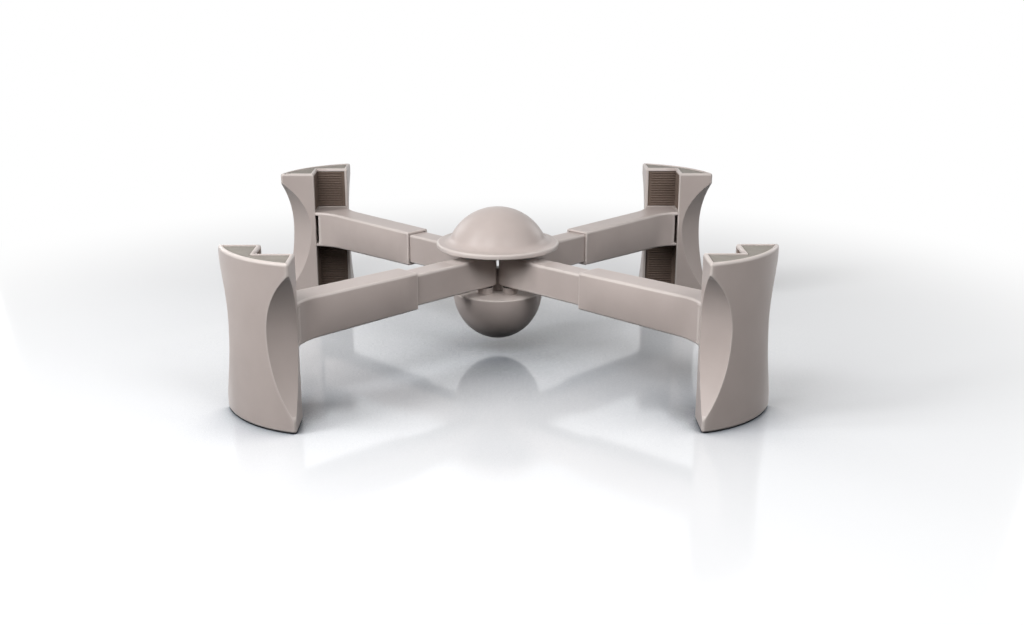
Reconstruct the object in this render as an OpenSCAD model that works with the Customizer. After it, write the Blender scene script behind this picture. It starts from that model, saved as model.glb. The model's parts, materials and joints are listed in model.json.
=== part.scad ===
// Chair booster: four leg columns that lift a chair, on sprung telescopic arms round a hub.
// Millimetres, +Z up, +Y away from the viewer. The origin is on the floor, under the hub.
// Each arm is drawn along +X and turned into its corner, so x is the distance from the hub's axis.

/* [Layout] */
// Spacing of the notch corners with the arms closed
leg_spacing = 400; // [340:5:480]
// Height of a leg, from the floor to its upper rim
leg_h = 145; // [130:1:175]
// Height of the middle of the arms
arm_z = 83; // [78:1:90]
// How far a leg can be pulled out
travel = 75; // [50:1:90]

/* [Leg] */
// Length of each wall of the notch
notch_wall = 33; // [28:0.5:40]
// Thickness from the notch's corner to the outer face
corner_t = 15.4; // [13:0.1:18]
// Radius of the outer face
outer_r = 101; // [84:1:122]
// Half width of the waist
waist_half = 27; // [25:0.5:32]
// Height of the waist
waist_z = 84; // [78:1:92]
// Radius of the scoops above the waist
scoop_upper_r = 71; // [60:1:86]
// Radius of the scoops below the waist
scoop_lower_r = 135; // [112:1:162]
// Wall of the hollow leg
leg_wall = 4.2; // [3.8:0.1:5]
// Rim round the end pads
rim_t = 3.2; // [2.4:0.1:3.4]

/* [Pads] */
// Thickness of the rubber end pads
pad_t = 4; // [3:0.1:5]
// How far the upper pad lies below the rim
pad_sink = 1; // [0.5:0.1:2]
// How far the foot pad stands out of the leg
foot_proud = 0.5; // [0.3:0.1:1]
// Plain border of the notch round each grip
grip_border = 3; // [2:0.1:4]
// Plain strip between a grip and the sleeve's seat
grip_to_seat = 0.5; // [0.3:0.1:3]
// Depth of the pocket that a grip is set in
grip_pocket = 1.6; // [1.2:0.1:2]
// Height of a grip's ribs, which end level with the notch wall
rib_h = 1; // [0.6:0.1:1.1]
// Spacing of the ribs
rib_pitch = 2.75; // [2.25:0.05:4]
// Smooth strip of a grip above and below its ribs
rib_margin = 0.9; // [0.5:0.1:3]
// Smooth strip of a grip beyond the ends of its ribs
rib_end_margin = 3; // [1:0.1:4]

/* [Sleeve] */
// Length of the sleeve from its mouth to the notch's mouth
sleeve_len = 142.5; // [120:0.5:155]
// Side wall of the sleeve
side_wall = 1.65; // [1.4:0.05:3]
// Upper and lower wall of the sleeve at its mouth
mouth_wall = 1.6; // [1.4:0.1:3]
// Upper and lower wall of the sleeve at the leg, which are the seats
seat_wall = 3.1; // [2.5:0.1:5]
// Radius of the flare at the leg
flare_r = 50; // [40:1:62]
// Length of the tight land behind the mouth
land_len = 12; // [8:0.5:16]
// Slit between the sleeve's side walls and the leg
slit = 1.6; // [1:0.1:4]
// Width of the tongue on the leg that the sleeve is screwed to
tongue_w = 14; // [11:0.5:17]

/* [Inner arm] */
// Width of the inner arm
arm_w = 22.1; // [18:0.1:27]
// Height of the inner arm
arm_h = 29.6; // [24:0.1:36]
// Wall of the inner arm
arm_wall = 2.6; // [2.2:0.1:3.2]
// Solid length between the arm's round end and its hollow
end_web = 5; // [3:0.5:10]
// Height of the glide bush above the arm's surface
bush_rise = 0.8; // [0.6:0.05:1]
// Thickness of the glide bush
bush_t = 1.75; // [1.5:0.05:2]

/* [Hub] */
// Gap between the round ends of two neighbouring arms
end_gap = 2.4; // [1:0.1:6]
// Gap between the centre post and the arms' round ends
core_gap = 1.2; // [0.6:0.1:2]
// Height of the centre post above the lower plate
core_h = 22; // [15:0.5:28]
// Radius of the dome
dome_r = 51; // [48:0.5:56]
// Rise of the dome above its brim
dome_rise = 33.25; // [27.5:0.25:40]
// Radius of the dome's brim
brim_r = 59.5; // [58:0.5:66]
// Thickness of the dome's brim
brim_t = 5; // [4:0.1:6]
// Radius of the fillet between dome and brim
brim_fillet = 10; // [6:0.5:12]
// Radius of the bowl
bowl_r = 44; // [41:0.5:50]
// Depth of the bowl
bowl_depth = 48.5; // [40:0.5:56]
// Wall of the dome
dome_wall = 2.5; // [2:0.1:3]
// Rim of the bowl round the lower plate
bowl_rim = 2.4; // [2:0.1:2.8]
// Wall of the bowl
bowl_wall = 3.5; // [3:0.1:4.5]
// Thickness of the two hub plates
plate_t = 3.5; // [3:0.1:4.5]
// Ledge that the upper plate is pressed against
plate_ledge = 3; // [2:0.1:4]
// Depth of the snap lips that hold the plates
snap = 0.6; // [0.3:0.05:0.8]
// Space between the arms and the dome's underside
upper_gap = 5.95; // [4:0.05:8]
// Space between the arms and the bowl
lower_gap = 8; // [6:0.1:12]

/* [Hardware] */
// Outer diameter of the pivot tubes
pivot_d = 10; // [8:0.5:12]
// Diameter of the pivot bolts
bolt_d = 6; // [5:0.5:6]
// Height of a bolt head or a nut
nut_h = 5; // [4:0.5:6]
// Outer diameter of the spacers and the thrust washers
spacer_d = 15; // [14:0.5:18]
// Thickness of the thrust washers
washer_t = 2; // [1.5:0.1:2.5]
// Diameter of the pins that hold the springs
pin_d = 4; // [3:0.5:4.5]
// Room from the leg's spring pin to the tongue
pin_to_tongue = 6; // [5:0.5:9]
// Room from the arm's open end to the leg's spring pin
arm_end_to_pin = 10; // [8:0.5:16]
// Room from the closed end of the arm's hollow to the arm's spring pin
hollow_to_pin = 8; // [6:0.5:14]
// Outer diameter of the springs
spring_d = 9; // [7:0.5:11]
// Wire of the springs
wire_d = 1.2; // [0.8:0.1:1.6]
// Diameter of the leg screws
screw_d = 3.5; // [3:0.1:4]
// Diameter of a leg screw's head
screw_head_d = 7.4; // [6:0.1:8]
// Height of a leg screw's head
screw_head_h = 1.6; // [1.2:0.1:2]
// Length of a leg screw
screw_len = 16; // [10:0.5:24]
// Room from the tongue's tip to the first leg screw
tip_to_screw = 6.3; // [5:0.1:7.5]
// Spacing of the two leg screws
screw_pitch = 9.5; // [8.5:0.1:10.5]

/* [Fits] */
// Gap on each side of a sliding or turning fit
run_gap = 0.3; // [0.2:0.05:0.4]
// Gap on each side of a fixed fit
fixed_gap = 0.05; // [0.02:0.01:0.1]

/* [Hidden] */
$fn = 96;
CORNERS = ["back_right", "back_left", "front_left", "front_right"];
HUB = ["hub_dome", "upper_plate", "lower_plate", "hub_bowl", "pivot_bolts", "pivot_nuts",
    "pivot_tubes", "upper_spacers", "lower_spacers", "thrust_washers"];
LIMB = ["inner_arm", "glide_bush", "arm_pin", "spring", "sleeve", "leg_pin", "leg", "leg_screws",
    "grip_upper", "grip_lower", "top_pad", "foot_pad"];

TAUPE = "#aea49e";
GRIP = "#70665f";
RUBBER = "#857f78";
STEEL = "#b4b8bc";
ACETAL = "#302d2b";

diag = sqrt(2);
// A length past the whole leg, and the amount by which a cut passes the surface it opens
far = 2 * leg_h;
over = 1;

// Distances from the hub's axis along an arm
notch_x = leg_spacing / diag;
mouth_of_notch_x = notch_x - notch_wall / diag;
sleeve_x0 = mouth_of_notch_x - sleeve_len;
tongue_x0 = mouth_of_notch_x - slit;
leg_pin_x = tongue_x0 - pin_to_tongue;
arm_end_x = leg_pin_x - arm_end_to_pin;
pivot_x = (arm_w + end_gap) / diag;
core_r = pivot_x - arm_w / 2 - core_gap;
arm_hollow_x = pivot_x + arm_w / 2 + end_web;
arm_pin_x = arm_hollow_x + hollow_to_pin;
bush_x0 = sleeve_x0 + land_len + travel + run_gap;

// Heights
arm_z0 = arm_z - arm_h / 2;
arm_z1 = arm_z + arm_h / 2;
brim_z0 = arm_z1 + upper_gap;
brim_z1 = brim_z0 + brim_t;
dome_top = brim_z1 + dome_rise;
upper_plate_z1 = brim_z0 + plate_t;
bowl_z1 = arm_z0 - lower_gap;
lower_plate_z0 = bowl_z1 - plate_t;
top_pad_z1 = leg_h - pad_sink;
top_pad_z0 = top_pad_z1 - pad_t;

// Sections
bush_w = arm_w + 2 * bush_rise;
bush_h = arm_h + 2 * bush_rise;
neck_w = bush_w - 2 * bush_t - 2 * fixed_gap;
neck_h = bush_h - 2 * bush_t - 2 * fixed_gap;
bore_w = bush_w + 2 * run_gap;
bore_h = bush_h + 2 * run_gap;
land_w = arm_w + 2 * run_gap;
land_h = arm_h + 2 * run_gap;
sleeve_w = bore_w + 2 * side_wall;
sleeve_h = bore_h + 2 * mouth_wall;
seat_h = bore_h + 2 * seat_wall;
seat_z0 = arm_z - seat_h / 2;
seat_z1 = arm_z + seat_h / 2;
upper_grip = [seat_z1 + grip_to_seat, leg_h - grip_border];
lower_grip = [foot_proud + grip_border, seat_z0 - grip_to_seat];
tongue_h = bore_h - 2 * fixed_gap;
plate_r = sqrt(pow(dome_r - dome_wall, 2) - pow(brim_z0 - dome_top + dome_r, 2)) + plate_ledge;
lower_plate_r = bowl_r - bowl_rim;
washer_bore = pivot_d / 2 + run_gap;
leg_pin_z0 = arm_z - sleeve_h / 2;
leg_pin_z1 = arm_z + bore_h / 2 + side_wall;
screw_xs = [tongue_x0 + tip_to_screw, tongue_x0 + tip_to_screw + screw_pitch];
flare_steps = 12;
ellipse_steps = 24;

// A point in a leg's plan: s along a notch wall from its corner, n outward from that wall
function plan(s, n, side) = [notch_x + (n - s) / diag, side * (s + n) / diag];

// Half width of the sleeve's flare at x, where half is the half width before it
function flare(x, x0, half) = half + flare_r - sqrt(max(0, flare_r * flare_r - pow(max(0, x - x0), 2)));

// Points of a quarter ellipse from its rim to its lowest point
function bowl_curve(r, depth, z1) =
    [for (i = [0 : ellipse_steps]) let (a = 90 * i / ellipse_steps) [r * cos(a), z1 - depth * sin(a)]];

// Puts an arm's pieces into one corner
module corner(name) {
    rotate([0, 0, 45 + 90 * search([name], CORNERS)[0]]) children();
}

// Puts a piece on each of the four pivots
module each_pivot() {
    for (k = [0 : 3])
        rotate([0, 0, 45 + 90 * k])
            translate([pivot_x, 0, 0]) children();
}

// A ring on the Z axis between two heights
module ring(outer, inner, z0, z1) {
    difference() {
        translate([0, 0, z0]) cylinder(r = outer, h = z1 - z0);
        translate([0, 0, z0 - over]) cylinder(r = inner, h = z1 - z0 + 2 * over);
    }
}

// A bar of rectangular section along the arm
module bar(x0, x1, w, h) {
    translate([x0, -w / 2, arm_z - h / 2]) cube([x1 - x0, w, h]);
}

// The leg's plan, drawn in by inset on every side, between two heights
module leg_prism(inset, z0, z1) {
    wall_end = notch_wall - inset;
    intersection() {
        translate([0, 0, z0])
            linear_extrude(z1 - z0)
                polygon([plan(-inset, inset, 1), plan(wall_end, inset, 1), plan(wall_end, far, 1),
                    plan(wall_end, far, -1), plan(wall_end, inset, -1)]);
        translate([notch_x + corner_t - outer_r, 0, z0])
            cylinder(r = outer_r - inset, h = z1 - z0, $fn = 240);
    }
}

// A band that follows both walls of the notch, from n0 to n1 outward of them
module notch_band(n0, n1, s1, z0, z1) {
    translate([0, 0, z0])
        linear_extrude(z1 - z0)
            polygon([plan(-n0, n0, 1), plan(s1, n0, 1), plan(s1, n1, 1), plan(-n1, n1, 1),
                plan(s1, n1, -1), plan(s1, n0, -1)]);
}

// One side's scoop, with its radii grown by grow
module scoop(side, grow) {
    for (part = [[scoop_upper_r, waist_z], [scoop_lower_r, waist_z - far]])
        intersection() {
            translate([notch_x, side * (waist_half + part[0]), waist_z])
                rotate([0, 90, 0])
                    cylinder(r = part[0] + grow, h = far, center = true, $fn = 240);
            translate([notch_x - far / 2, side * far - far, part[1]]) cube([far, 2 * far, far]);
        }
}

// Pocket of one grip, or the grip's own outline when drawn in by gap
module grip_pocket_shape(z0, z1, n0, gap) {
    notch_band(n0, grip_pocket - gap, notch_wall - grip_border - gap, z0 + gap, z1 - gap);
}

// A grip: a thin backing with level ribs that follow both walls
module grip(z0, z1) {
    first = z0 + rib_margin;
    last = z1 - rib_margin - rib_pitch / 2;
    grip_pocket_shape(z0, z1, rib_h, fixed_gap);
    for (z = [first : rib_pitch : last])
        notch_band(0, rib_h + fixed_gap, notch_wall - grip_border - rib_end_margin, z, z + rib_pitch / 2);
}

module leg() {
    color(TAUPE) {
        difference() {
            leg_prism(0, foot_proud, leg_h);
            scoop(1, 0);
            scoop(-1, 0);
            leg_cavity();
            leg_prism(rim_t, foot_proud - over, pad_t);
            leg_prism(rim_t, top_pad_z0, leg_h + over);
            grip_pocket_shape(upper_grip[0], upper_grip[1], -over, 0);
            grip_pocket_shape(lower_grip[0], lower_grip[1], -over, 0);
        }
        tongue();
    }
}

module leg_cavity() {
    difference() {
        leg_prism(leg_wall, pad_t - over, top_pad_z0 + over);
        scoop(1, leg_wall);
        scoop(-1, leg_wall);
    }
}

// Tongue in the notch that the sleeve is screwed to
module tongue() {
    half = tongue_w / 2;
    root = leg_wall / 2 * diag;
    difference() {
        translate([0, 0, arm_z - tongue_h / 2])
            linear_extrude(tongue_h)
                polygon([[tongue_x0, -half], [notch_x - half + root, -half], [notch_x + root, 0],
                    [notch_x - half + root, half], [tongue_x0, half]]);
        for (x = screw_xs)
            translate([x, 0, seat_z0])
                cylinder(d = screw_d + 2 * fixed_gap, h = screw_len + over);
    }
}

module leg_screws() {
    color(STEEL)
        for (x = screw_xs)
            translate([x, 0, seat_z0]) {
                cylinder(d = screw_head_d, h = screw_head_h);
                cylinder(d = screw_d, h = screw_len);
            }
}

module grip_upper() {
    color(GRIP) grip(upper_grip[0], upper_grip[1]);
}

module grip_lower() {
    color(GRIP) grip(lower_grip[0], lower_grip[1]);
}

module top_pad() {
    color(RUBBER) leg_prism(rim_t + fixed_gap, top_pad_z0, top_pad_z1);
}

module foot_pad() {
    color(RUBBER) leg_prism(rim_t + fixed_gap, 0, pad_t);
}

// The sleeve's plan, drawn in by inset at its sides, from x0 to an end of half width end_half
module sleeve_plan(inset, x0, end_x, end_half, h) {
    start = plan(notch_wall, -fixed_gap, 1);
    rise = start[1] - sleeve_w / 2;
    flare_x0 = start[0] - sqrt(flare_r * flare_r - pow(flare_r - rise, 2));
    side = [for (i = [0 : flare_steps])
        let (x = flare_x0 + (start[0] - flare_x0) * i / flare_steps)
        [x, flare(x, flare_x0, sleeve_w / 2) - inset]];
    half = concat([[x0, sleeve_w / 2 - inset]], side, end_half > 0 ? [[end_x, end_half]] : []);
    point = end_half > 0 ? [] : [[end_x, 0]];
    other = [for (i = [len(half) - 1 : -1 : 0]) [half[i][0], -half[i][1]]];
    translate([0, 0, arm_z - h / 2])
        linear_extrude(h) polygon(concat(half, point, other));
}

module sleeve() {
    tip = plan(fixed_gap, -fixed_gap, 1);
    color(TAUPE)
        difference() {
            intersection() {
                sleeve_plan(0, sleeve_x0, tip[0], 0, far);
                translate([0, far / 2, arm_z])
                    rotate([90, 0, 0])
                        linear_extrude(far)
                            polygon([[sleeve_x0, -sleeve_h / 2], [mouth_of_notch_x, -seat_h / 2],
                                [notch_x + over, -seat_h / 2], [notch_x + over, seat_h / 2],
                                [mouth_of_notch_x, seat_h / 2], [sleeve_x0, sleeve_h / 2]]);
            }
            bar(sleeve_x0 - over, sleeve_x0 + land_len + over, land_w, land_h);
            sleeve_plan(side_wall, sleeve_x0 + land_len, notch_x + slit,
                notch_wall / diag - side_wall, bore_h);
            notch_band(-slit, over, notch_wall + slit, arm_z - bore_h / 2, arm_z + bore_h / 2);
            for (x = screw_xs)
                translate([x, 0, seat_z0 - over]) {
                    cylinder(d = screw_d + 2 * run_gap, h = seat_h / 2);
                    cylinder(d = screw_head_d + 2 * run_gap, h = screw_head_h + over);
                }
            translate([leg_pin_x, 0, 0]) cylinder(d = pin_d + 2 * fixed_gap, h = leg_pin_z1);
        }
}

// The leg's spring pin stands in a blind hole, and the arm's passes right through
module leg_pin() {
    color(STEEL)
        translate([leg_pin_x, 0, leg_pin_z0])
            cylinder(d = pin_d, h = leg_pin_z1 - fixed_gap - leg_pin_z0);
}

module arm_pin() {
    color(STEEL)
        translate([arm_pin_x, 0, arm_z0]) cylinder(d = pin_d, h = arm_h);
}

module inner_arm() {
    color(TAUPE)
        difference() {
            union() {
                translate([pivot_x, 0, arm_z0]) cylinder(d = arm_w, h = arm_h);
                bar(pivot_x, bush_x0 - fixed_gap, arm_w, arm_h);
                bar(bush_x0 - over, arm_end_x, neck_w, neck_h);
            }
            bar(arm_hollow_x, arm_end_x + over, arm_w - 2 * arm_wall, arm_h - 2 * arm_wall);
            translate([pivot_x, 0, arm_z0 - over])
                cylinder(r = pivot_d / 2 + run_gap, h = arm_h + 2 * over);
            translate([arm_pin_x, 0, arm_z0 - over])
                cylinder(d = pin_d + 2 * fixed_gap, h = arm_h + 2 * over);
        }
}

module glide_bush() {
    color(ACETAL)
        difference() {
            bar(bush_x0, arm_end_x, bush_w, bush_h);
            bar(bush_x0 - over, arm_end_x + over, neck_w + 2 * fixed_gap, neck_h + 2 * fixed_gap);
        }
}

// A closed extension spring with a round loop over each pin
module spring() {
    loop_r = spring_d / 2 - wire_d / 2;
    reach = loop_r - wire_d / 2 - pin_d / 2 - fixed_gap;
    ends = [arm_pin_x + reach, leg_pin_x - reach];
    color(STEEL) {
        for (x = ends)
            translate([x, 0, arm_z])
                rotate_extrude() translate([loop_r, 0]) circle(d = wire_d, $fn = 24);
        translate([ends[0] + loop_r, 0, arm_z])
            rotate([0, 90, 0])
                difference() {
                    cylinder(d = spring_d, h = ends[1] - ends[0] - 2 * loop_r);
                    translate([0, 0, wire_d])
                        cylinder(d = spring_d - 2 * wire_d, h = ends[1] - ends[0] - 2 * loop_r - 2 * wire_d);
                }
    }
}

module hub_dome() {
    fillet_z = brim_z1 + brim_fillet;
    centre_z = dome_top - dome_r;
    fillet_x = sqrt(pow(dome_r + brim_fillet, 2) - pow(fillet_z - centre_z, 2));
    touch = asin((fillet_z - centre_z) / (dome_r + brim_fillet));
    arc = [for (i = [0 : flare_steps])
        let (a = -90 - (90 - touch) * i / flare_steps)
        [fillet_x + brim_fillet * cos(a), fillet_z + brim_fillet * sin(a)]];
    color(TAUPE)
        difference() {
            union() {
                intersection() {
                    translate([0, 0, centre_z]) sphere(r = dome_r);
                    translate([0, 0, brim_z0 + brim_t / 2]) cylinder(r = dome_r + over, h = dome_r);
                }
                translate([0, 0, brim_z0]) cylinder(r = brim_r, h = brim_t);
                rotate_extrude()
                    polygon(concat([[dome_r / 2, brim_z0 + over], [fillet_x, brim_z0 + over]], arc,
                        [[dome_r / 2, arc[flare_steps][1]]]));
            }
            intersection() {
                translate([0, 0, centre_z]) sphere(r = dome_r - dome_wall);
                translate([0, 0, brim_z0]) cylinder(r = dome_r, h = dome_r);
            }
            translate([0, 0, brim_z0 + 2 * snap])
                cylinder(r = plate_r, h = upper_plate_z1 - brim_z0 - 2 * snap);
            translate([0, 0, brim_z0 - over]) cylinder(r = plate_r - snap, h = plate_t);
        }
}

// A plate with four pivot holes, and a wider edge between lip_z0 and lip_z1 that the snap lip holds
module hub_plate(r, z0, z1, lip_z0, lip_z1) {
    difference() {
        union() {
            translate([0, 0, z0]) cylinder(r = r - snap - fixed_gap, h = z1 - z0);
            translate([0, 0, lip_z0]) cylinder(r = r - fixed_gap, h = lip_z1 - lip_z0);
        }
        each_pivot()
            translate([0, 0, z0 - over]) cylinder(d = bolt_d + 2 * run_gap, h = z1 - z0 + 2 * over);
    }
}

module upper_plate() {
    color(TAUPE)
        hub_plate(plate_r, brim_z0, upper_plate_z1 - fixed_gap, brim_z0 + 2 * snap + fixed_gap,
            upper_plate_z1 - fixed_gap);
}

// The lower plate has a post that fills the space between the arms' round ends
module lower_plate() {
    color(TAUPE) {
        hub_plate(lower_plate_r, lower_plate_z0 + fixed_gap, bowl_z1, lower_plate_z0 + fixed_gap,
            bowl_z1 - 2 * snap - fixed_gap);
        translate([0, 0, bowl_z1 - over]) cylinder(r = core_r, h = core_h + over);
    }
}

module hub_bowl() {
    inside = bowl_curve(bowl_r - bowl_wall, bowl_depth - bowl_wall, bowl_z1);
    color(TAUPE)
        difference() {
            rotate_extrude() polygon(concat(bowl_curve(bowl_r, bowl_depth, bowl_z1), [[0, bowl_z1]]));
            rotate_extrude() polygon(concat(inside, [[0, bowl_z1]]));
            translate([0, 0, lower_plate_z0])
                cylinder(r = lower_plate_r, h = plate_t - 2 * snap);
            translate([0, 0, lower_plate_z0]) cylinder(r = lower_plate_r - snap, h = plate_t + over);
        }
}

module pivot_bolts() {
    color(STEEL)
        each_pivot() {
            translate([0, 0, lower_plate_z0 - nut_h]) cylinder(d = 2 * bolt_d, h = nut_h, $fn = 6);
            translate([0, 0, lower_plate_z0 - over])
                cylinder(d = bolt_d, h = upper_plate_z1 + 1.2 * nut_h - lower_plate_z0 + over);
        }
}

module pivot_nuts() {
    color(STEEL)
        each_pivot()
            difference() {
                translate([0, 0, upper_plate_z1]) cylinder(d = 2 * bolt_d, h = nut_h, $fn = 6);
                translate([0, 0, upper_plate_z1 - over])
                    cylinder(d = bolt_d + 2 * fixed_gap, h = nut_h + 2 * over);
            }
}

// Steel tubes that the arms turn on, clamped between the spacers
module pivot_tubes() {
    color(STEEL)
        each_pivot()
            ring(pivot_d / 2, bolt_d / 2 + fixed_gap, arm_z0 - run_gap - washer_t,
                arm_z1 + run_gap + washer_t);
}

module upper_spacers() {
    color(TAUPE)
        each_pivot()
            ring(spacer_d / 2, bolt_d / 2 + run_gap, arm_z1 + run_gap + washer_t, brim_z0);
}

module lower_spacers() {
    color(TAUPE)
        each_pivot()
            ring(spacer_d / 2, bolt_d / 2 + run_gap, bowl_z1, arm_z0 - run_gap - washer_t);
}

module thrust_washers() {
    color(ACETAL)
        each_pivot() {
            ring(spacer_d / 2, washer_bore, arm_z1 + run_gap, arm_z1 + run_gap + washer_t);
            ring(spacer_d / 2, washer_bore, arm_z0 - run_gap - washer_t, arm_z0 - run_gap);
        }
}

hub_dome();
upper_plate();
lower_plate();
hub_bowl();
pivot_bolts();
pivot_nuts();
pivot_tubes();
upper_spacers();
lower_spacers();
thrust_washers();

for (name = CORNERS) {
    corner(name) inner_arm();
    corner(name) glide_bush();
    corner(name) arm_pin();
    corner(name) spring();
    corner(name) sleeve();
    corner(name) leg_pin();
    corner(name) leg();
    corner(name) leg_screws();
    corner(name) grip_upper();
    corner(name) grip_lower();
    corner(name) top_pad();
    corner(name) foot_pad();
}
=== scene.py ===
import json
import math
import bpy
import numpy as np
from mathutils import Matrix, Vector

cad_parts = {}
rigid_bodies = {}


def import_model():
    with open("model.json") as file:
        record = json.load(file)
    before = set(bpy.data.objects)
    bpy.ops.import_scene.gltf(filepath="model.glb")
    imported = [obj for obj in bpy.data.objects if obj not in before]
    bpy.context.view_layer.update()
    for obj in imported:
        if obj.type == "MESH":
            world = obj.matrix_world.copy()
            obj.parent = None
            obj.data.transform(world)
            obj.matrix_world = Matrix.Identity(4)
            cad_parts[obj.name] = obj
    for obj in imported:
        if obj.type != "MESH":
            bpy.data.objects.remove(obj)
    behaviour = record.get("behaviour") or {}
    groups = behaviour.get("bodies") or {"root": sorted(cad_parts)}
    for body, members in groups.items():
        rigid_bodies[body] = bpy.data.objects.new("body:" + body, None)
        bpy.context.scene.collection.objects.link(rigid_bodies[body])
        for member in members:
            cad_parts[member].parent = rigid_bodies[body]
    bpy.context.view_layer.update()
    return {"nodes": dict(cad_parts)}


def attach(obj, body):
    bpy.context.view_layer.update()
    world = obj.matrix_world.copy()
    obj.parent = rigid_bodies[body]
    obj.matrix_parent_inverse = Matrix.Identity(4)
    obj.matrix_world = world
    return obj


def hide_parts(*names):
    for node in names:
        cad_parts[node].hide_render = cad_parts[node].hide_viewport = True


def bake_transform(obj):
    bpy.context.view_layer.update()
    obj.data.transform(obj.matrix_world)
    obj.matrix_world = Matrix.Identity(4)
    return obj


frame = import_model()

CORNERS = {"back_right": 45, "back_left": 135, "front_left": 225, "front_right": 315}
ROOT2 = math.sqrt(2)
MM_PER_M = 1000
ARM_Z = 83.0

# Gap at a close fit, and the flat kept beside a rounded corner
FIT = 0.05
SHOULDER = 1.2

# Leg column
NOTCH_X = 400 / ROOT2
NOTCH_WALL = 33.0
CORNER_T = 15.4
OUTER_R = 101.0
OUTER_X = NOTCH_X + CORNER_T - OUTER_R
WAIST_HALF = 27.0
WAIST_Z = 84.0
SCOOP_UPPER_R = 71.0
SCOOP_LOWER_R = 135.0
LEG_FOOT = 0.5
LEG_TOP = 145.0
RIM = 3.2
RIM_ROUND = 2.4
TIP_ROUND = 2.2
TIP_FADE = (43.0, 49.0)
EDGE_ROUND = 0.6
WALL_END_ROUND = 1.2
LEAST_ROUND = 0.15
RIM_BREAK = 0.3
PAD_T = 4.0
PAD_GAP = 0.4
PAD_ROUND = (0.3, 0.9)
TOP_PAD_Z = 144.0
TONGUE_HALF = 7.0
TONGUE_H = 31.7
TONGUE_ROOT = 2.5
TONGUE_BREAK = 1.0
SLIT = 1.6

# Grips
POCKET = 1.6
GRIP_BORDER = 3.0
GRIP_FLOOR = 1.0
GRIP_BREAK = 0.25
RIB_H = 1.0
RIB_PITCH = 2.75
RIB_MARGIN = 0.9
RIB_END = 3.0
UPPER_GRIP = (102.5, 142.0)
LOWER_GRIP = (3.5, 63.5)

# Sleeve and inner arm
MOUTH_OF_NOTCH = NOTCH_X - NOTCH_WALL / ROOT2
SLEEVE_LEN = 142.5
SLEEVE_X = MOUTH_OF_NOTCH - SLEEVE_LEN
SLEEVE_HALF = 13.8
SLEEVE_HALF_H = 17.5
SEAT_HALF_H = 19.0
SEAT_HALF = NOTCH_WALL / ROOT2 - FIT
FLARE_R = 50.0
BORE_HALF_H = 15.9
LAND_HALF = 11.35
LAND_HALF_H = 15.1
LAND_LEN = 12.0
SIDE_WALL = 1.65
MOUTH_ROUND = 0.8
MOUTH_BREAK = 0.5
SLEEVE_ROUND = 2.2
NOSE_R = 4.5
SPLIT_X = 248.0
SEAT_GAP = 0.1
SEAT_BREAK = 0.5
CROWN = 2.2
CROWN_FADE = (18.0, 30.0)
WEB_END = 259.0
ARM_HALF = 11.05
ARM_HALF_H = 14.8
NECK_HALF = 10.05
NECK_HALF_H = 13.8
HOLLOW_HALF = 8.45
HOLLOW_HALF_H = 12.2
ARM_ROUND = 2.0
NECK_ROUND = 1.0
HOLLOW_ROUND = 0.8
PIVOT_X = 24.5 / ROOT2
PIVOT_BORE = 5.3
BUSH_X = 204.3
ARM_END = 241.91
HOLLOW_X = 33.37
ARM_PIN_X = 41.37
LEG_PIN_X = 251.91
PIN_BORE = 2.05
SCREW_XS = (264.21, 273.71)
SCREW_SINK_R = 4.0
SCREW_SINK = 1.6
SCREW_SOCKET_R = 1.2
SCREW_SOCKET = 0.6

# Hub
DOME_R = 51.0
DOME_TOP = 142.0
DOME_IN_R = 48.5
BRIM_R = 59.5
BRIM_Z = (103.75, 108.75)
BRIM_FILLET = 10.0
BRIM_TOP_ROUND = 2.0
BRIM_LOW_ROUND = 1.2
PLATE_R = 49.79
PLATE_TOP = 107.25
BOWL_R = 44.0
BOWL_TOP = 60.2
BOWL_DEPTH = 48.5
BOWL_WALL = 3.5
BOWL_RIM_ROUND = 1.0
LID_R = 41.6
LID_Z = 56.7
SNAP = 0.6
HUB_STEPS = 144

# Edges that bend by more than this are shown sharp
SHARP_DEG = 32


def closed_loft(rings, joined=False):
    """Skin over a stack of closed rings, shape (rows, points, 3).

    Each point is joined to its neighbour on the ring and to the same point on the next ring. The two
    ends are closed with one face each, or with joined the last ring goes back to the first.
    """
    rings = np.asarray(rings, float)
    rows, size = rings.shape[:2]
    row = np.arange(rows if joined else rows - 1)[:, None]
    col = np.arange(size)[None, :]
    after = (col + 1) % size
    above = (row + 1) % rows
    quads = np.stack([row * size + col, row * size + after, above * size + after, above * size + col], -1)
    faces = quads.reshape(-1, 4).tolist()
    if not joined:
        faces.append(list(range(size))[::-1])
        faces.append(list(range((rows - 1) * size, rows * size)))
    return outward(rings.reshape(-1, 3), faces)


def turned_shell(profile, around, centre=(0.0, 0.0)):
    """Profile of (radius, height) points turned about a vertical axis.

    Each profile point becomes a circle. A profile that starts and ends on the axis gets one pole at each
    end, and any other profile is taken as a closed loop.
    """
    profile = np.asarray(profile, float)
    poles = profile[0, 0] == 0
    body = profile[1:-1] if poles else profile
    angle = np.linspace(0, 2 * np.pi, around, endpoint=False)
    rings = np.stack([centre[0] + body[:, :1] * np.cos(angle), centre[1] + body[:, :1] * np.sin(angle),
                      np.broadcast_to(body[:, 1:], (len(body), around))], -1)
    if not poles:
        return closed_loft(rings, joined=True)
    verts, faces = closed_loft(rings)
    faces = faces[:-2]
    col = np.arange(around)
    after = (col + 1) % around
    last = (len(body) - 1) * around
    first_pole, last_pole = len(verts), len(verts) + 1
    ends = profile[[0, -1], 1]
    verts = np.vstack([verts, [[centre[0], centre[1], ends[0]], [centre[0], centre[1], ends[1]]]])
    faces += np.stack([np.full(around, first_pole), after, col], -1).tolist()
    faces += np.stack([np.full(around, last_pole), last + col, last + after], -1).tolist()
    return outward(verts, faces)


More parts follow.
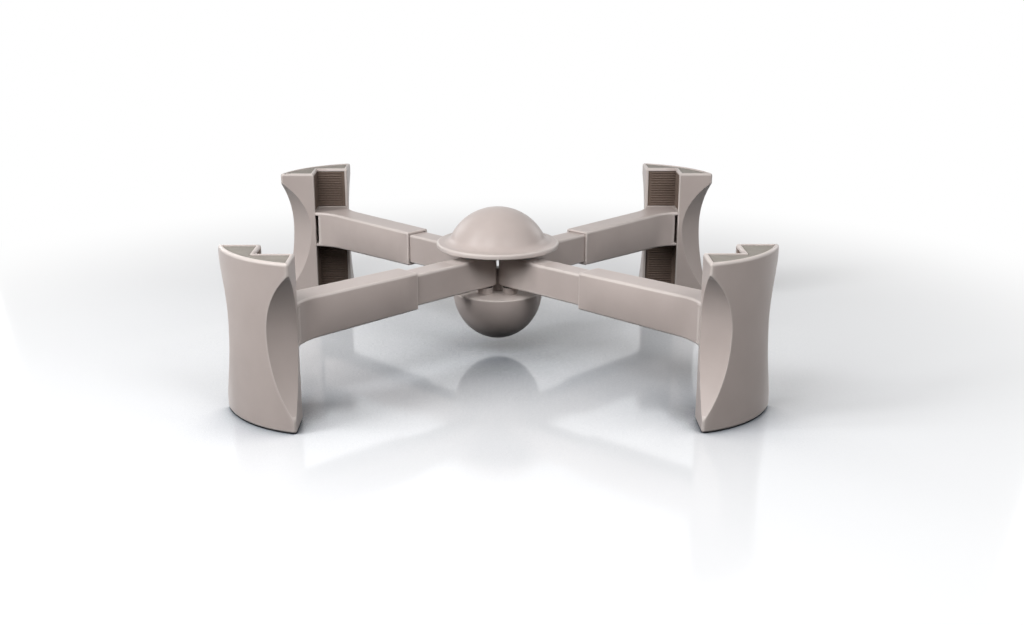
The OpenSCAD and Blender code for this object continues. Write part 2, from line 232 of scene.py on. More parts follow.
def outward(verts, faces):
    """Turns every face round if the closed skin's signed volume, summed over face fans, is negative."""
    volume = 0.0
    for size in {len(f) for f in faces}:
        fan = verts[np.array([f for f in faces if len(f) == size])]
        for k in range(1, size - 1):
            volume += np.einsum("ij,ij->i", fan[:, 0], np.cross(fan[:, k], fan[:, k + 1])).sum()
    return (verts, faces) if volume > 0 else (verts, [f[::-1] for f in faces])


def quarter(radius, steps):
    """Sine and cosine of a quarter turn in even steps, times the radius."""
    a = np.radians(np.linspace(0, 90, steps))
    return radius * np.sin(a), radius * np.cos(a)


def plan(s, n, side=1.0):
    """Point in a leg's plan: s along a notch wall from its corner, n outward from that wall."""
    return np.stack([NOTCH_X + (n - s) / ROOT2, side * (s + n) / ROOT2], -1)


def raised(outlines, z):
    """Plan outlines, shape (rows, points, 2), with each row's height as the third coordinate."""
    return np.concatenate([outlines, np.broadcast_to(z[:, None, None], outlines.shape[:2] + (1,))], -1)


def arc_points(centre, radius, angles):
    """Points at the angles round each centre; centre is (rows, 2), radius (rows,), angles (rows, steps)."""
    spoke = np.stack([np.cos(angles), np.sin(angles)], -1)
    return centre[:, None] + radius[:, None, None] * spoke


def scoop_half(z):
    """Half width of the leg at a height: the waist plus the sagitta of the scoop's circle there."""
    r = np.where(z > WAIST_Z, SCOOP_UPPER_R, SCOOP_LOWER_R)
    return WAIST_HALF + r - np.sqrt(np.maximum(r * r - (z - WAIST_Z) ** 2, 0))


def shoulders(a, b):
    """Two points on each line from a to b, a shoulder's length from its ends, or less on a short line."""
    length = np.linalg.norm(b - a, axis=1)
    most = 0.3
    share = np.minimum(SHOULDER / np.maximum(length, FIT), most)[:, None]
    return np.stack([a + share * (b - a), b + share * (a - b)], 1)


def leg_rings(z, inset, pocket):
    """Outline of the leg at each height, drawn in by inset, its notch walls set back by pocket.

    Half an outline runs from the notch's corner along the wall, round the wall's end, along the lip to the
    scoop, straight across the scoop and along the outer arc to the middle. The other half mirrors it.
    Every corner is an arc whose centre lies inset plus radius inside both of its lines. Where the scoop
    doesn't reach the tip, both of its arcs have the tip's centre and make one rounding.
    """
    z, inset, pocket = np.broadcast_arrays(*(np.asarray(v, float) for v in (z, inset, pocket)))
    depth = inset + pocket
    wall_end = NOTCH_WALL - GRIP_BORDER
    share = np.linspace(0, 1, 6)
    wall = plan(-depth[:, None] + (wall_end + depth[:, None]) * share, depth[:, None] + 0 * share)
    step = plan(np.full(len(z), wall_end + FIT), inset)[:, None]
    end_r = np.maximum(WALL_END_ROUND - inset, LEAST_ROUND)
    m = inset + end_r
    end = arc_points(plan(NOTCH_WALL - m, m), end_r,
                     np.radians(np.linspace(225, 135, 7))[None] + 0 * m[:, None])
    half = scoop_half(z)
    near_tip = np.clip((half - TIP_FADE[0]) / (TIP_FADE[1] - TIP_FADE[0]), 0, 1)
    tip_r = np.maximum(EDGE_ROUND + (TIP_ROUND - EDGE_ROUND) * near_tip - inset, LEAST_ROUND)
    m = inset + tip_r
    shrunk = OUTER_R - m
    reach = NOTCH_X - OUTER_X
    c = (NOTCH_WALL - m) / ROOT2
    tip = c + (-reach + np.sqrt(reach ** 2 - 2 * ((reach - c) ** 2 + c ** 2 - shrunk ** 2))) / 2
    tau = np.minimum(half - m, tip)
    lip = arc_points(plan(NOTCH_WALL - m, ROOT2 * tau - NOTCH_WALL + m), tip_r,
                     np.radians(np.linspace(135, 90, 5))[None] + 0 * m[:, None])
    turn = np.arctan2(tau, np.sqrt(shrunk ** 2 - tau ** 2))
    centre = np.stack([OUTER_X + np.sqrt(shrunk ** 2 - tau ** 2), tau], -1)
    face = arc_points(centre, tip_r, np.pi / 2 + (turn - np.pi / 2)[:, None] * np.linspace(0, 1, 6))
    outer = arc_points(np.stack([OUTER_X + 0 * z, 0 * z], -1), OUTER_R - inset,
                       turn[:, None] * np.linspace(1, 0, 13)[1:])
    half_ring = np.concatenate([wall, step, end, shoulders(end[:, -1], lip[:, 0]), lip,
                                shoulders(lip[:, -1], face[:, 0]), face, outer], 1)
    other = half_ring[:, -2:0:-1] * [1, -1]
    return raised(np.concatenate([half_ring, other], 1), z)


def leg_shells():
    """The column, from the recess for its foot pad, round both rims, to the recess for the upper pad."""
    edge = 0.03
    body = np.linspace(LEG_FOOT + RIM_ROUND, LEG_TOP - RIM_ROUND, 70)
    cuts = np.array([v + d for v in UPPER_GRIP + LOWER_GRIP for d in (-edge, edge)])
    body = np.unique(np.concatenate([body, cuts]))
    in_grip = [(body > a) & (body < b) for a, b in (UPPER_GRIP, LOWER_GRIP)]
    pocket = np.where(in_grip[0] | in_grip[1], POCKET, 0)
    rise, run = quarter(RIM_ROUND, 8)
    foot_z = np.concatenate([[PAD_T, LEG_FOOT + RIM_BREAK, LEG_FOOT], LEG_FOOT + RIM_ROUND - run[:-1]])
    foot_in = np.concatenate([[RIM, RIM, RIM - RIM_BREAK], RIM_ROUND - rise[:-1]])
    top_z = np.concatenate([LEG_TOP - RIM_ROUND + rise[1:],
                            [LEG_TOP, LEG_TOP - RIM_BREAK, TOP_PAD_Z - PAD_T]])
    top_in = np.concatenate([RIM_ROUND - run[1:], [RIM - RIM_BREAK, RIM, RIM]])
    z = np.concatenate([foot_z, body, top_z])
    inset = np.concatenate([foot_in, 0 * body, top_in])
    depth = np.concatenate([0 * foot_z, pocket, 0 * top_z])
    return [closed_loft(leg_rings(z, inset, depth)), tongue_shell()]


def tongue_shell():
    """The tongue in the notch that the sleeve is screwed to: a plan with a pointed root, carried upward."""
    tip, root = MOUTH_OF_NOTCH - SLIT, NOTCH_X + TONGUE_ROOT
    broken, half = TONGUE_HALF - TONGUE_BREAK, TONGUE_HALF
    outline = np.array([[tip, -broken], [tip + TONGUE_BREAK, -half], [root - half, -half], [root, 0],
                        [root - half, half], [tip + TONGUE_BREAK, half], [tip, broken]])
    z = ARM_Z + np.array([-1, 1]) * TONGUE_H / 2
    return closed_loft(raised(np.broadcast_to(outline, (2,) + outline.shape), z))


def pad_shells(low, high, round_low, round_high):
    """An end pad: the leg's outline drawn in to clear the rim, with its two edges rounded."""
    rise_low, run_low = quarter(round_low, 5)
    rise_high, run_high = quarter(round_high, 5)
    z = np.concatenate([low + round_low - run_low, high - round_high + rise_high])
    inset = RIM + PAD_GAP + np.concatenate([round_low - rise_low, round_high - run_high])
    return [closed_loft(leg_rings(z, inset, 0))]


def grip_shells(low, high):
    """A grip: an L-shaped lining of both notch walls with level ribs.

    The face lies GRIP_FLOOR behind the wall. Each rib lifts it by RIB_H times half an ellipse over the
    rib's height, times a quarter circle that rounds the rib off at its end. The back is flat.
    """
    low, high = low + FIT, high - FIT
    start = np.arange(low + RIB_MARGIN, high - RIB_MARGIN - RIB_PITCH / 2 + FIT, RIB_PITCH)
    across = np.array([-1, -0.93, -0.75, -0.4, 0, 0.4, 0.75, 0.93, 1])
    z = (start[:, None] + RIB_PITCH / 4 * (1 + across)).ravel()
    lift = np.tile(np.sqrt(1 - across ** 2), len(start))
    z = np.concatenate([[low, low + GRIP_BREAK], z, [high - GRIP_BREAK, high]])
    lift = np.concatenate([[-GRIP_BREAK, 0], lift, [0, -GRIP_BREAK]])
    side_end = NOTCH_WALL - GRIP_BORDER - FIT
    rib_end = side_end - RIB_END
    rounding = np.array([-0.4, 0, 0.06, 0.25, 0.6, 1])
    along_wall = [20, 13, 6]
    s = np.concatenate([[side_end, side_end - GRIP_BREAK], rib_end - rounding, along_wall])
    fade = np.sqrt(np.clip(1 - np.clip(1 - (rib_end - s), 0, 1) ** 2, 0, 1))
    fade = np.append(fade, 1.0)
    sunk = np.where(np.arange(len(s) + 1) == 0, GRIP_BREAK, 0.0)
    n = GRIP_FLOOR - RIB_H * np.where(lift[:, None] < 0, lift[:, None], lift[:, None] * fade) + sunk
    s = np.concatenate([np.broadcast_to(s, (len(z), len(s))), -n[:, -1:]], 1)
    back_n = np.full_like(n, POCKET - FIT)
    back_s = s.copy()
    back_s[:, -1] = -back_n[:, -1]
    front = [plan(s, n, 1.0), plan(s, n, -1.0)[:, -2::-1]]
    back = [plan(back_s, back_n, -1.0), plan(back_s, back_n, 1.0)[:, -2::-1]]
    return [closed_loft(raised(np.concatenate(front + back, 1), z))]


def flare_half(x):
    """Half width of the sleeve: constant, then out along a circle that is tangent to the straight side."""
    start = MOUTH_OF_NOTCH - math.sqrt(FLARE_R ** 2 - (FLARE_R - SEAT_HALF + SLEEVE_HALF) ** 2)
    run = np.clip(x, start, MOUTH_OF_NOTCH) - start
    return SLEEVE_HALF + FLARE_R - np.sqrt(FLARE_R ** 2 - run ** 2)


def sleeve_shells():
    """The sleeve as one closed skin: out along its outside, round its far end and back along its bore.

    A ring has lines for the two flat walls with their rounded edges, and lines for the two webs between
    them. A wall line ends on the notch, at the notch's corner less its own y. A web line ends earlier, in
    a nose: its outside bends in along a quarter circle, which leaves the slit in front of the leg. Between
    its ends the outside is crowned: it stands out by a parabola over the height, which fades to nothing
    towards both ends.
    """
    flat = np.array([0, 0.2, 0.4, 0.6, 0.8, 1.0])
    bend = np.radians([15, 30, 45, 60, 75, 90])
    side_z = np.array([BORE_HALF_H, BORE_HALF_H - 0.15, 13, 10, 6.5, 3, 0])
    top = len(flat) + len(bend)
    count = top + len(side_z)
    on_side = np.ones(count - len(flat))
    across = np.concatenate([flat, on_side])
    off_y = np.concatenate([0 * flat, np.sin(bend), 1 + 0 * side_z])
    off_z = np.concatenate([1 + 0 * flat, np.cos(bend), 0 * side_z])
    low_z = np.concatenate([np.zeros(top), side_z])
    lag = FIT * np.maximum(np.arange(count) - top + 1, 0)
    is_arc = np.arange(count) < top
    is_web = np.arange(count) > top
    line = np.arange(count)
    order = np.concatenate([line, line[-2::-1], line[1:], line[-2:0:-1]])
    sign_y = np.repeat([1, 1, -1, -1], [count, count - 1, count - 1, count - 2])
    sign_z = np.repeat([1, -1, -1, 1], [count, count - 1, count - 1, count - 2])
    across, off_y, off_z, low_z, lag, is_arc, is_web = (
        v[order] for v in (across, off_y, off_z, low_z, lag, is_arc, is_web))
    radius = SLEEVE_ROUND
    wall_y = across * (SEAT_HALF - radius) + off_y * radius
    wall_end = NOTCH_X - SEAT_GAP - wall_y

    def wall_x(e):
        return SPLIT_X + e[:, None] * (wall_end - SPLIT_X)

    def ring(x, y, z):
        return np.stack(np.broadcast_arrays(x, sign_y * y, ARM_Z + sign_z * z), -1)

    def outside(x, cut_y=0.0, cut_z=0.0, drop=0.0):
        half = flare_half(x) - cut_y
        tall = SLEEVE_HALF_H + (SEAT_HALF_H - SLEEVE_HALF_H) * np.clip(
            (x - SLEEVE_X) / (MOUTH_OF_NOTCH - SLEEVE_X), 0, 1) - cut_z
        y = across * (half - radius) + off_y * radius
        z = np.where(is_arc, tall - radius + off_z * radius - drop, np.minimum(low_z, tall - radius - lag))
        near = np.clip(np.minimum((x - SLEEVE_X) / CROWN_FADE[0], (SPLIT_X - x) / CROWN_FADE[1]), 0, 1)
        crown = CROWN * near * near * (3 - 2 * near) * (1 - (z / tall) ** 2)
        return np.where(across == 1, y + crown, y), z

    rise, run = quarter(MOUTH_ROUND, 4)
    lead = (SLEEVE_X + MOUTH_ROUND - run)[:, None]
    cut_in = (MOUTH_ROUND - rise)[:, None]
    rows = [ring(lead, *outside(lead, cut_in, cut_in))]
    body = np.concatenate([[SLEEVE_X + 2], np.linspace(SLEEVE_X + 5, SPLIT_X - 20, 14),
                           np.linspace(SPLIT_X - 17, SPLIT_X, 9)])[:, None]
    rows.append(ring(body, *outside(body)))
    e = np.array([0.2, 0.4, 0.55, 0.68, 0.8, 0.9, 1.0])
    bend_at = e[1]
    x = wall_x(e)
    x[-1] -= SEAT_BREAK
    y, z = outside(x)
    theta = np.radians(90 * np.clip((e - bend_at) / (1 - bend_at), 0, 1))[:, None]
    along = np.clip(e / bend_at, 0, 1)[:, None]
    web_x = SPLIT_X + (WEB_END - NOSE_R - SPLIT_X) * along + NOSE_R * np.sin(theta)
    web_y = flare_half(web_x) - NOSE_R * (1 - np.cos(theta))
    rows.append(ring(np.where(is_web, web_x, x), np.where(is_web, web_y, y), z))
    y, z = outside(wall_end, drop=SEAT_BREAK)
    nose_end, bore_end = NOSE_R + 0.3, NOSE_R + 0.6
    rows.append(ring(np.where(is_web, WEB_END, wall_end),
                     np.where(is_web, flare_half(WEB_END) - nose_end, y), z)[None])
    share = wall_y / SEAT_HALF

    def inside(x, wall_half, web_half, tall):
        z = np.where(is_web, low_z * tall / BORE_HALF_H, tall)
        return ring(x, np.where(is_web, web_half, share * wall_half), z)

    e = np.array([1.0, 0.8, 0.5, 0.2])
    x = wall_x(e)
    web_x = SPLIT_X + (WEB_END - SPLIT_X) * e[:, None]
    thick_from, thick_over = SPLIT_X - 1, 5
    thick = SIDE_WALL + (bore_end - SIDE_WALL) * np.clip((web_x - thick_from) / thick_over, 0, 1)
    thin_to, thin_over, thinnest = WEB_END - 1, 4, 0.02
    wall_half = flare_half(x) - SIDE_WALL * np.clip((thin_to - x) / thin_over, thinnest, 1)
    rows.append(inside(np.where(is_web, web_x, x), wall_half, flare_half(web_x) - thick, BORE_HALF_H))
    body = np.concatenate([body[::-1, 0][:-1], [SLEEVE_X + LAND_LEN + 0.1]])[:, None]
    half = flare_half(body) - SIDE_WALL
    rows.append(inside(body, half, half, BORE_HALF_H))
    land = np.array([SLEEVE_X + LAND_LEN, SLEEVE_X + MOUTH_BREAK, SLEEVE_X])[:, None]
    widen = np.array([0, 0, MOUTH_BREAK])[:, None]
    rows.append(inside(land, LAND_HALF + widen, LAND_HALF + widen, LAND_HALF_H + widen))
    return [closed_loft(np.concatenate(rows), joined=True)]


def box_rings(x, half, half_h, radius):
    """Rounded rectangles across the arm: each corner is a quarter circle set in by the radius.

    A shoulder point on the flat at each side of a corner keeps the corner's rounding to itself.
    """
    sizes = (np.asarray(v, float) for v in (x, half, half_h, radius))
    x, half, half_h, radius = np.broadcast_arrays(*sizes)
    corner = np.array([0, 0, 18, 36, 54, 72, 90, 90])
    along = np.tile([-1, 0, 0, 0, 0, 0, 0, 1], 4)
    a = np.radians(np.concatenate([k * 90 + corner for k in range(4)]))
    sign_y = np.repeat([1, -1, -1, 1], len(corner))
    sign_z = np.repeat([1, 1, -1, -1], len(corner))
    step = np.minimum(SHOULDER, 0.4 * (half - radius))[:, None] * along
    y = sign_y * (half - radius)[:, None] + radius[:, None] * np.cos(a) - step * np.sin(a)
    z = ARM_Z + sign_z * (half_h - radius)[:, None] + radius[:, None] * np.sin(a) + step * np.cos(a)
    return np.stack([np.broadcast_to(x[:, None], y.shape), y, z], -1)


def arm_shells():
    """The inner arm as one skin, out along its outside and back along its hollow.

    Up to the pivot its half width follows a half circle, which makes the round end. Further out it is a
    straight bar that steps down to the neck under the glide bush.
    """
    turn = np.radians([3, 8, 15, 24, 34, 45, 57, 70, 83])
    rounded, broken, widened = 0.6, 0.4, 0.3
    bar = [70, 110, 150, 190, BUSH_X - rounded - FIT]
    straight = len(turn) + len(bar)
    far_x = [BUSH_X - FIT, BUSH_X, ARM_END - broken, ARM_END, ARM_END, ARM_END - broken, HOLLOW_X]

    def far_end(full, neck, hollow):
        return [full - rounded, neck, neck, neck - broken, hollow + widened, hollow, hollow]

    x = np.concatenate([PIVOT_X - ARM_HALF * np.cos(turn), bar, far_x])
    half = np.concatenate([ARM_HALF * np.sin(turn), [ARM_HALF] * len(bar),
                           far_end(ARM_HALF, NECK_HALF, HOLLOW_HALF)])
    tall = np.array([ARM_HALF_H] * straight + far_end(ARM_HALF_H, NECK_HALF_H, HOLLOW_HALF_H))
    radius = np.array([ARM_ROUND] * straight + [NECK_ROUND] * 4 + [HOLLOW_ROUND] * 3)
    return [closed_loft(box_rings(x, half, tall, np.minimum(radius, 0.95 * half)))]


def dome_shells():
    """The dome: a spherical cap that runs through a fillet into a brim with rounded edges, and its inside.

    The fillet's circle touches the sphere and the brim's top, so its centre lies one fillet radius above
    the brim and one sphere radius plus one fillet radius from the sphere's centre.
    """
    low, high = BRIM_Z
    centre = DOME_TOP - DOME_R
    fillet_z = high + BRIM_FILLET
    fillet_x = math.sqrt((DOME_R + BRIM_FILLET) ** 2 - (fillet_z - centre) ** 2)
    touch = math.atan2(fillet_z - centre, fillet_x)
    a = np.linspace(np.pi / 2, touch, 40)
    cap = np.stack([DOME_R * np.cos(a), centre + DOME_R * np.sin(a)], -1)
    cap[0, 0] = 0
    a = np.linspace(touch + np.pi, 1.5 * np.pi, 10)[1:]
    fillet = np.stack([fillet_x + BRIM_FILLET * np.cos(a), fillet_z + BRIM_FILLET * np.sin(a)], -1)
    a = np.radians(np.linspace(90, 0, 8))
    r = BRIM_TOP_ROUND
    top_edge = np.stack([BRIM_R - r + r * np.cos(a), high - r + r * np.sin(a)], -1)
    a = np.radians(np.linspace(0, -90, 6))
    r = BRIM_LOW_ROUND
    low_edge = np.stack([BRIM_R - r + r * np.cos(a), low + r + r * np.sin(a)], -1)
    seat = [[PLATE_R - SNAP, low], [PLATE_R - SNAP, low + 2 * SNAP], [PLATE_R, low + 2 * SNAP + FIT],
            [PLATE_R, PLATE_TOP]]
    a = np.linspace(math.asin((PLATE_TOP - centre) / DOME_IN_R), np.pi / 2, 24)
    inside = np.stack([DOME_IN_R * np.cos(a), centre + DOME_IN_R * np.sin(a)], -1)
    inside[-1, 0] = 0
    return [turned_shell(np.concatenate([cap, fillet, top_edge, low_edge, seat, inside]), HUB_STEPS)]


def bowl_shells():
    """The bowl: a half ellipse turned about the axis, its rounded rim, the lid's seat and the inside."""
    a = np.linspace(np.pi / 2, 0.03, 40)
    outer = np.stack([BOWL_R * np.cos(a), BOWL_TOP - BOWL_DEPTH * np.sin(a)], -1)
    outer[0, 0] = 0
    a = np.radians(np.linspace(0, 90, 6))
    r = BOWL_RIM_ROUND
    rim = np.stack([BOWL_R - r + r * np.cos(a), BOWL_TOP - r + r * np.sin(a)], -1)
    seat = [[LID_R - SNAP, BOWL_TOP], [LID_R - SNAP, BOWL_TOP - 2 * SNAP], [LID_R, BOWL_TOP - 2 * SNAP - FIT],
            [LID_R, LID_Z]]
    r, depth = BOWL_R - BOWL_WALL, BOWL_DEPTH - BOWL_WALL
    a = np.linspace(math.asin((BOWL_TOP - LID_Z) / depth), np.pi / 2, 30)
    inside = np.stack([r * np.cos(a), BOWL_TOP - depth * np.sin(a)], -1)
    inside[-1, 0] = 0
    return [turned_shell(np.concatenate([outer, rim, seat, inside]), HUB_STEPS)]


def wire_shell(path, normal, radius, around=7, joined=False):
    """Round wire along a path: a circle spanned by the given normal and its cross with the tangent."""
    tangent = np.gradient(path, axis=0) if not joined else np.roll(path, -1, 0) - np.roll(path, 1, 0)
    tangent /= np.linalg.norm(tangent, axis=1)[:, None]
    across = np.cross(tangent, normal)
    a = np.linspace(0, 2 * np.pi, around, endpoint=False)[:, None]
    rings = path[:, None] + radius * (np.cos(a) * normal[:, None] + np.sin(a) * across[:, None])
    return closed_loft(rings, joined=joined)


def spring_shells():
    """An extension spring: a close coil along the arm and a round loop over each of its two pins."""
    wire, mean, hook, pitch, steps = 0.6, 3.9, 1.25, 2.04, 13
    ends = (ARM_PIN_X + hook, LEG_PIN_X - hook)
    length = ends[1] - ends[0] - 2 * mean - 2 * wire
    turns = length / (pitch * wire)
    t = np.linspace(0, 1, int(turns * steps))
    a = 2 * np.pi * turns * t
    spoke = np.stack([0 * a, np.cos(a), np.sin(a)], -1)
    coil = np.stack([ends[0] + mean + wire + length * t, 0 * a, 0 * a + ARM_Z], -1) + mean * spoke
    shells = [wire_shell(coil, spoke, wire)]
    a = np.linspace(0, 2 * np.pi, 40, endpoint=False)
    spoke = np.stack([np.cos(a), np.sin(a), 0 * a], -1)
    for x in ends:
        shells.append(wire_shell(np.array([x, 0, ARM_Z]) + mean * spoke, spoke, wire, joined=True))
    return shells


def screw_shells():
    """Two screws with low domed heads, flush in the seat's underside, and round shanks."""
    foot = ARM_Z - SEAT_HALF_H
    head, shank, tip, length = 3.7, 1.75, 0.9, 16.0
    dome = [[0, 0.05], [1.6, 0.08], [2.8, 0.2], [3.4, 0.45], [head, 0.9]]
    stem = [[head, SCREW_SINK], [shank, SCREW_SINK], [shank, length - 1], [tip, length], [0, length]]
    profile = np.array(dome + stem) + [0, foot]
    return [turned_shell(profile, 40, (x, 0.0)) for x in SCREW_XS]


def rod(x, z0, z1, radius):
    """A plain round rod, used only as a cutter for holes."""
    return turned_shell([[0, z0], [radius, z0], [radius, z1], [0, z1]], 40, (x, 0.0))


def joined_shells(shells):
    """One vertex array and one face list from several closed skins."""
    verts, faces, base = [], [], 0
    for v, f in shells:
        verts.append(v)
        faces += [[i + base for i in face] for face in f]
        base += len(v)
    return np.vstack(verts), faces


def new_mesh(name, shells, turn=0.0):
    """Mesh in metres from shells in millimetres, turned about the hub's axis."""
    verts, faces = joined_shells(shells)
    a = math.radians(turn)
    spin = np.array([[math.cos(a), math.sin(a), 0], [-math.sin(a), math.cos(a), 0], [0, 0, 1]])
    mesh = bpy.data.meshes.new(name)
    mesh.from_pydata((verts @ spin / MM_PER_M).tolist(), [], faces)
    mesh.update()
    return mesh


def cut(name, shells, cutters):
    """Mesh of the shells less the cutters, by an exact boolean."""
    scene = bpy.context.scene.collection.objects
    body = bpy.data.objects.new(name, new_mesh(name, shells))
    tool = bpy.data.objects.new(name + "_cutter", new_mesh(name + "_cutter", cutters))
    scene.link(body)
    scene.link(tool)
    boolean = body.modifiers.new("holes", "BOOLEAN")
    boolean.object = tool
    boolean.operation = "DIFFERENCE"
    boolean.solver = "EXACT"
    graph = bpy.context.evaluated_depsgraph_get()
    mesh = bpy.data.meshes.new_from_object(body.evaluated_get(graph))
    co = np.empty(len(mesh.vertices) * 3)
    mesh.vertices.foreach_get("co", co)
    faces = [list(p.vertices) for p in mesh.polygons]
    for o in (body, tool):
        bpy.data.objects.remove(o)
    return [(co.reshape(-1, 3) * MM_PER_M, faces)]


def piece(name, shells, finish, body, node, turn=0.0):
    """Puts a finished piece in the scene, on its body, in place of its CAD node.

    A piece on two bodies, the spring, is parented to neither: its place is baked into its mesh.
    """
    mesh = new_mesh(name, shells, turn)
    mesh.polygons.foreach_set("use_smooth", np.ones(len(mesh.polygons), bool))
    mesh.set_sharp_from_angle(angle=math.radians(SHARP_DEG))
    mesh.materials.append(finish)
    made = bpy.data.objects.new(name, mesh)
    bpy.context.scene.collection.objects.link(made)
    if isinstance(body, tuple):
        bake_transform(made)
    else:
        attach(made, body)
    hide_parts(node)


def linear(code):
    """sRGB hex code as a linear RGBA colour."""
    srgb = np.array([int(code[k:k + 2], 16) for k in (1, 3, 5)]) / 255
    rgb = np.where(srgb <= 0.04045, srgb / 12.92, ((srgb + 0.055) / 1.055) ** 2.4)
    return (*rgb.tolist(), 1.0)


def add(tree, kind, sockets, **settings):
    """Adds a node: settings are its own options, sockets are values or links for its inputs."""
    node = tree.nodes.new(kind)
    for key, value in settings.items():
        setattr(node, key, value)
    for key, value in sockets.items():
        if isinstance(value, bpy.types.NodeSocket):
            tree.links.new(value, node.inputs[key])
        else:
            node.inputs[key].default_value = value
    return node


def blank(name):
    """An empty material, its node tree and the place on the piece in metres."""
    made = bpy.data.materials.new(name)
    made.use_nodes = True
    tree = made.node_tree
    tree.nodes.clear()
    place = add(tree, "ShaderNodeTexCoord", {}).outputs["Object"]
    return made, tree, place


def tones(tree, fac, *stops):
    """Colour ramp with the given (position, hex) stops."""
    ramp = add(tree, "ShaderNodeValToRGB", {"Fac": fac})
    marks = ramp.color_ramp.elements
    while len(marks) < len(stops):
        marks.new(0.5)
    for mark, (at, code) in zip(marks, stops):
        mark.position = at
        mark.color = linear(code)
    return ramp.outputs["Color"]


def per_mm(size):
    """Noise scale, in cycles per metre, for features of a size in millimetres."""
    return MM_PER_M / size


def moulded_polypropylene():
    """Warm grey polypropylene from a fine spark-eroded mould.

    The eye sees a satin skin with a very fine even grain, a soft highlight, and slow changes of tone where
    the melt flowed, some 45 mm across. Its rounded convex edges are painted paler, a painted highlight along
    every edge. The real grain is about 0.2 mm, too fine to show, so it is drawn at 0.9 mm.
    """
    made, tree, place = blank("moulded_polypropylene")
    flow = add(tree, "ShaderNodeTexNoise", {"Vector": place, "Scale": per_mm(45), "Detail": 3.0,
                                            "Roughness": 0.55})
    grain = add(tree, "ShaderNodeTexNoise", {"Vector": place, "Scale": per_mm(0.9), "Detail": 2.0,
                                             "Roughness": 0.6})
    gloss = add(tree, "ShaderNodeTexNoise", {"Vector": place, "Scale": per_mm(14), "Detail": 4.0,
                                             "Roughness": 0.6})
    colour = tones(tree, flow.outputs["Fac"], (0.25, "#b6aaa5"), (0.5, "#bbafaa"), (0.78, "#c0b4af"))
    # Painted highlight: convex edges, found by their pointiness, are mixed towards a paler colour
    bend = add(tree, "ShaderNodeNewGeometry", {}).outputs["Pointiness"]
    painted_edge_highlight = add(tree, "ShaderNodeMapRange", {"Value": bend, "From Min": 0.507, "From Max": 0.517,
                                              "To Max": 0.45}).outputs["Result"]
    colour = add(tree, "ShaderNodeMix", {0: painted_edge_highlight, 6: colour, 7: linear("#dfd7d2")},
                 data_type="RGBA").outputs[2]
    rough = add(tree, "ShaderNodeMapRange", {"Value": gloss.outputs["Fac"], "From Min": 0.25,
                                             "From Max": 0.75, "To Min": 0.3, "To Max": 0.36})
    bump = add(tree, "ShaderNodeBump", {"Height": grain.outputs["Fac"], "Strength": 0.12, "Distance": 0.0003})
    skin = add(tree, "ShaderNodeBsdfPrincipled", {
        "Base Color": colour, "Roughness": rough.outputs["Result"], "Normal": bump.outputs["Normal"],
        "IOR": 1.49, "Specular IOR Level": 0.25})
    add(tree, "ShaderNodeOutputMaterial", {"Surface": skin.outputs["BSDF"]})
    return made


def soft_grip_rubber():
    """Dark taupe thermoplastic rubber, moulded matt.

    The eye sees a dull surface with hardly any highlight and a powdery mottle about 1.5 mm across.
    """
    made, tree, place = blank("soft_grip_rubber")
    mottle = add(tree, "ShaderNodeTexNoise", {"Vector": place, "Scale": per_mm(1.5), "Detail": 4.0,
                                              "Roughness": 0.65})
    colour = tones(tree, mottle.outputs["Fac"], (0.3, "#67584e"), (0.55, "#716259"), (0.8, "#7b6c63"))
    bump = add(tree, "ShaderNodeBump", {"Height": mottle.outputs["Fac"], "Strength": 0.2, "Distance": 0.0003})
    skin = add(tree, "ShaderNodeBsdfPrincipled", {
        "Base Color": colour, "Roughness": 0.68, "Normal": bump.outputs["Normal"], "IOR": 1.5,
        "Specular IOR Level": 0.2})
    add(tree, "ShaderNodeOutputMaterial", {"Surface": skin.outputs["BSDF"]})
    return made


def pad_rubber():
    """Grey thermoplastic rubber of the end pads, moulded with a fine matt stipple.

    The eye sees a neutral grey, a shade darker than the shell, with a soft sheen at low angles and a
    pebbled surface. The stipple is about 1.2 mm.
    """
    made, tree, place = blank("pad_rubber")
    pebble = add(tree, "ShaderNodeTexVoronoi", {"Vector": place, "Scale": per_mm(1.2)})
    cloud = add(tree, "ShaderNodeTexNoise", {"Vector": place, "Scale": per_mm(12), "Detail": 4.0,
                                             "Roughness": 0.6})
    colour = tones(tree, cloud.outputs["Fac"], (0.3, "#7d776f"), (0.55, "#857f77"), (0.8, "#8d877f"))
    bump = add(tree, "ShaderNodeBump", {"Height": pebble.outputs["Distance"], "Strength": 0.3,
                                        "Distance": 0.0004})
    skin = add(tree, "ShaderNodeBsdfPrincipled", {
        "Base Color": colour, "Roughness": 0.6, "Normal": bump.outputs["Normal"], "IOR": 1.5})
    add(tree, "ShaderNodeOutputMaterial", {"Surface": skin.outputs["BSDF"]})
    return made


def zinc_plated_steel():
    """Bright zinc-plated steel of the bolts, nuts, pins, tubes, screws and springs.

    The eye sees a cool silver metal, slightly clouded, with a blurred reflection. The clouding is about
    3 mm across.
    """
    made, tree, place = blank("zinc_plated_steel")
    cloud = add(tree, "ShaderNodeTexNoise", {"Vector": place, "Scale": per_mm(3), "Detail": 4.0,
                                             "Roughness": 0.6})
    colour = tones(tree, cloud.outputs["Fac"], (0.3, "#aab0b4"), (0.55, "#b9bec1"), (0.8, "#c8ccce"))
    rough = add(tree, "ShaderNodeMapRange", {"Value": cloud.outputs["Fac"], "From Min": 0.3, "From Max": 0.7,
                                             "To Min": 0.24, "To Max": 0.38})
    skin = add(tree, "ShaderNodeBsdfPrincipled", {
        "Base Color": colour, "Roughness": rough.outputs["Result"], "Metallic": 1.0})
    add(tree, "ShaderNodeOutputMaterial", {"Surface": skin.outputs["BSDF"]})
    return made


